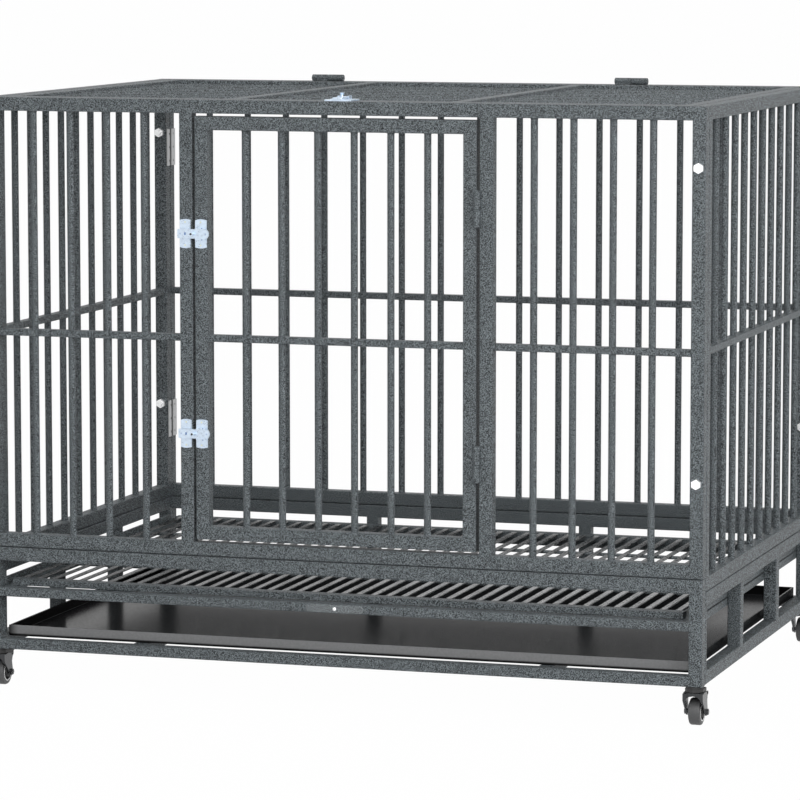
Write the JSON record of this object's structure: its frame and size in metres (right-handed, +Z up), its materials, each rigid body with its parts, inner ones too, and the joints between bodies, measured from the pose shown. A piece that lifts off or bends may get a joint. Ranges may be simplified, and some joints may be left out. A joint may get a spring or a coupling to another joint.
{
  "type": "dog crate",
  "caption": "Heavy barred steel dog crate on casters, with a hinged front door, hinged roof, slide latches, floor grate and pull-out tray.",
  "frame": {"origin": "on the floor under the middle of the crate", "axes": "+X to the right seen from the front, along the long side; front and its door towards -Y; +Z up"},
  "size_m": [1.1016, 0.7809, 0.8904],
  "materials": {
    "frame_paint": "textured dark grey powder coat",
    "grate_paint": "textured grey powder coat",
    "latch_zinc": "bright zinc plate with a blue cast",
    "bolt_zinc": "satin zinc plate",
    "caster_plate": "bright plate",
    "tray_enamel": "smooth glossy black enamel",
    "black_plastic": "satin black",
    "wheel_tread": "grey soft tread"
  },
  "bodies": {
    "crate": {"front_panel": "frame_paint", "back_panel": "frame_paint", "left_panel": "frame_paint", "right_panel": "frame_paint", "base_front_frame": "frame_paint", "base_back_frame": "frame_paint", "base_left_frame": "frame_paint", "base_right_frame": "frame_paint", "tray_runner_left": "frame_paint", "tray_runner_right": "frame_paint", "door_hinge_upper_pin_knuckle": "frame_paint", "door_hinge_lower_pin_knuckle": "frame_paint", "roof_hinge_left_pin_knuckle": "frame_paint", "roof_hinge_right_pin_knuckle": "frame_paint", "door_latch_upper_keeper": "latch_zinc", "door_latch_lower_keeper": "latch_zinc", "roof_latch_keeper": "latch_zinc", "bolt_front_left_upper": "bolt_zinc", "bolt_front_left_lower": "bolt_zinc", "bolt_front_right_upper": "bolt_zinc", "bolt_front_right_lower": "bolt_zinc", "bolt_back_left_upper": "bolt_zinc", "bolt_back_left_lower": "bolt_zinc", "bolt_back_right_upper": "bolt_zinc", "bolt_back_right_lower": "bolt_zinc", "joining_plate_left_upper": "bolt_zinc", "joining_plate_left_lower": "bolt_zinc", "joining_plate_right_upper": "bolt_zinc", "joining_plate_right_lower": "bolt_zinc", "caster_front_left_stem": "caster_plate", "caster_front_right_stem": "caster_plate", "caster_back_left_stem": "caster_plate", "caster_back_right_stem": "caster_plate"},
    "front_door": {"front_door": "frame_paint", "door_hinge_upper_bored_knuckle": "frame_paint", "door_hinge_lower_bored_knuckle": "frame_paint", "door_latch_upper_case": "latch_zinc", "door_latch_lower_case": "latch_zinc"},
    "roof_door": {"roof_door": "frame_paint", "roof_hinge_left_bored_knuckle": "frame_paint", "roof_hinge_right_bored_knuckle": "frame_paint", "roof_latch_case": "latch_zinc"},
    "door_latch_upper": {"door_latch_upper_slide": "latch_zinc"},
    "door_latch_lower": {"door_latch_lower_slide": "latch_zinc"},
    "roof_latch": {"roof_latch_slide": "latch_zinc"},
    "floor_grate": {"floor_grate": "grate_paint"},
    "tray": {"tray": "tray_enamel"},
    "turn_button": {"turn_button": "latch_zinc"},
    "caster_front_left_swivel": {"caster_front_left_fork": "caster_plate"},
    "caster_front_left_wheel": {"caster_front_left_wheel": "wheel_tread"},
    "caster_front_left_brake": {"caster_front_left_brake": "black_plastic"},
    "caster_front_right_swivel": {"caster_front_right_fork": "caster_plate"},
    "caster_front_right_wheel": {"caster_front_right_wheel": "wheel_tread"},
    "caster_front_right_brake": {"caster_front_right_brake": "black_plastic"},
    "caster_back_left_swivel": {"caster_back_left_fork": "caster_plate"},
    "caster_back_left_wheel": {"caster_back_left_wheel": "wheel_tread"},
    "caster_back_right_swivel": {"caster_back_right_fork": "caster_plate"},
    "caster_back_right_wheel": {"caster_back_right_wheel": "wheel_tread"}
  },
  "joints": [
    {"name": "front_door_swing", "type": "hinge", "parent": "crate", "child": "front_door", "pos_m": [0.21475, -0.3844, 0.2365], "axis": [0, 0, 1], "range_deg": [0, 170]},
    {"name": "roof_door_lift", "type": "hinge", "parent": "crate", "child": "roof_door", "pos_m": [0, 0.3499, 0.88415], "axis": [-1, 0, 0], "range_deg": [0, 175]},
    {"name": "door_latch_upper_slide", "type": "slide", "parent": "front_door", "child": "door_latch_upper", "axis": [1, 0, 0], "range_m": [0, 0.024]},
    {"name": "door_latch_lower_slide", "type": "slide", "parent": "front_door", "child": "door_latch_lower", "axis": [1, 0, 0], "range_m": [0, 0.024]},
    {"name": "roof_latch_slide", "type": "slide", "parent": "roof_door", "child": "roof_latch", "axis": [0, 1, 0], "range_m": [0, 0.024]},
    {"name": "floor_grate_slide", "type": "slide", "parent": "crate", "child": "floor_grate", "axis": [0, -1, 0], "range_m": [0, 0.6]},
    {"name": "tray_slide", "type": "slide", "parent": "crate", "child": "tray", "axis": [0, -1, 0], "range_m": [0, 0.6]},
    {"name": "turn_button_turn", "type": "hinge", "parent": "crate", "child": "turn_button", "pos_m": [0, -0.37885, 0.1441], "axis": [0, -1, 0], "range_deg": [-90, 0]},
    {"name": "caster_front_left_swivel", "type": "hinge", "parent": "crate", "child": "caster_front_left_swivel", "pos_m": [-0.533, -0.36585, 0.058], "axis": [0, 0, 1], "continuous": true},
    {"name": "caster_front_left_roll", "type": "hinge", "parent": "caster_front_left_swivel", "child": "caster_front_left_wheel", "pos_m": [-0.533, -0.35385, 0.0195], "axis": [1, 0, 0], "continuous": true},
    {"name": "caster_front_left_brake_press", "type": "hinge", "parent": "caster_front_left_swivel", "child": "caster_front_left_brake", "pos_m": [-0.533, -0.34885, 0.046], "axis": [-1, 0, 0], "range_deg": [0, 12]},
    {"name": "caster_front_right_swivel", "type": "hinge", "parent": "crate", "child": "caster_front_right_swivel", "pos_m": [0.533, -0.36585, 0.058], "axis": [0, 0, 1], "continuous": true},
    {"name": "caster_front_right_roll", "type": "hinge", "parent": "caster_front_right_swivel", "child": "caster_front_right_wheel", "pos_m": [0.533, -0.35385, 0.0195], "axis": [1, 0, 0], "continuous": true},
    {"name": "caster_front_right_brake_press", "type": "hinge", "parent": "caster_front_right_swivel", "child": "caster_front_right_brake", "pos_m": [0.533, -0.34885, 0.046], "axis": [-1, 0, 0], "range_deg": [0, 12]},
    {"name": "caster_back_left_swivel", "type": "hinge", "parent": "crate", "child": "caster_back_left_swivel", "pos_m": [-0.533, 0.35915, 0.058], "axis": [0, 0, 1], "continuous": true},
    {"name": "caster_back_left_roll", "type": "hinge", "parent": "caster_back_left_swivel", "child": "caster_back_left_wheel", "pos_m": [-0.533, 0.37115, 0.0195], "axis": [1, 0, 0], "continuous": true},
    {"name": "caster_back_right_swivel", "type": "hinge", "parent": "crate", "child": "caster_back_right_swivel", "pos_m": [0.533, 0.35915, 0.058], "axis": [0, 0, 1], "continuous": true},
    {"name": "caster_back_right_roll", "type": "hinge", "parent": "caster_back_right_swivel", "child": "caster_back_right_wheel", "pos_m": [0.533, 0.37115, 0.0195], "axis": [1, 0, 0], "continuous": true}
  ]
}
